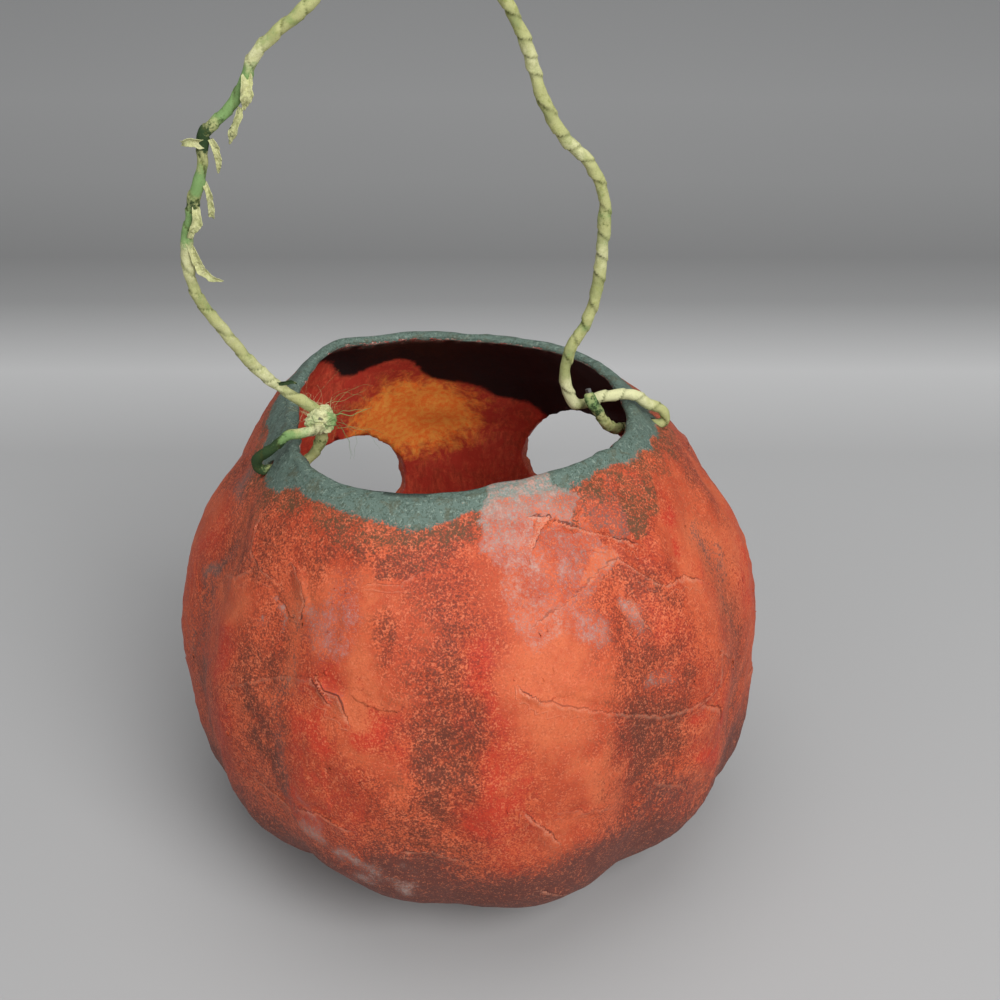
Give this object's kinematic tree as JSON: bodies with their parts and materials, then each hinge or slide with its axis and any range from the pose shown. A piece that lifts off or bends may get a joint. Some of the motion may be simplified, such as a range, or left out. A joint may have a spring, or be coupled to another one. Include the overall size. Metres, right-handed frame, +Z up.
{
  "type": "paper mache jack-o-lantern",
  "caption": "Hand-made paper mache pumpkin pail with cut-out eyes, nose and grin, an open rim bound in paper, and a crepe-wrapped wire bail that tips.",
  "frame": {"origin": "centre of the base, on the surface that the lantern stands on", "axes": "+Z up, the face looks toward -Y, and the lantern's own left side is +X"},
  "size_m": [0.1667, 0.1639, 0.2632],
  "materials": {
    "shell_paint": "matte tempera over layered paper",
    "rim_paint": "matte tempera over folded paper",
    "wire": "dull drawn wire",
    "crepe_tape": "crinkled matte crepe"
  },
  "bodies": {
    "body": {"paper_shell": "shell_paint", "rim_binding": "rim_paint", "sheet_shoulder_back": "shell_paint", "sheet_shoulder_right": "shell_paint", "sheet_right_back": "shell_paint", "sheet_right_low": "shell_paint", "sheet_shoulder_left": "shell_paint", "sheet_middle_back": "shell_paint", "sheet_left_low": "shell_paint", "sheet_middle_low": "shell_paint", "sheet_left_side": "shell_paint", "sheet_right_side": "shell_paint", "sheet_brow": "shell_paint"},
    "bail": {"handle_wire": "wire", "handle_tape": "crepe_tape", "left_knot": "crepe_tape", "tape_end_kink": "crepe_tape", "tape_flap_upper": "crepe_tape", "tape_flap_lower": "crepe_tape", "tape_flap_curl": "crepe_tape", "tape_strip_hanging": "crepe_tape", "tape_fold_front": "crepe_tape", "tape_flap_big": "crepe_tape", "tape_nib_low": "crepe_tape"}
  },
  "joints": [
    {"name": "bail_tip", "type": "hinge", "parent": "body", "child": "bail", "pos_m": [0.0553, 0.01801, 0.1278], "axis": [-0.9736, -0.2281, 0], "range_deg": [-18, 18]}
  ]
}
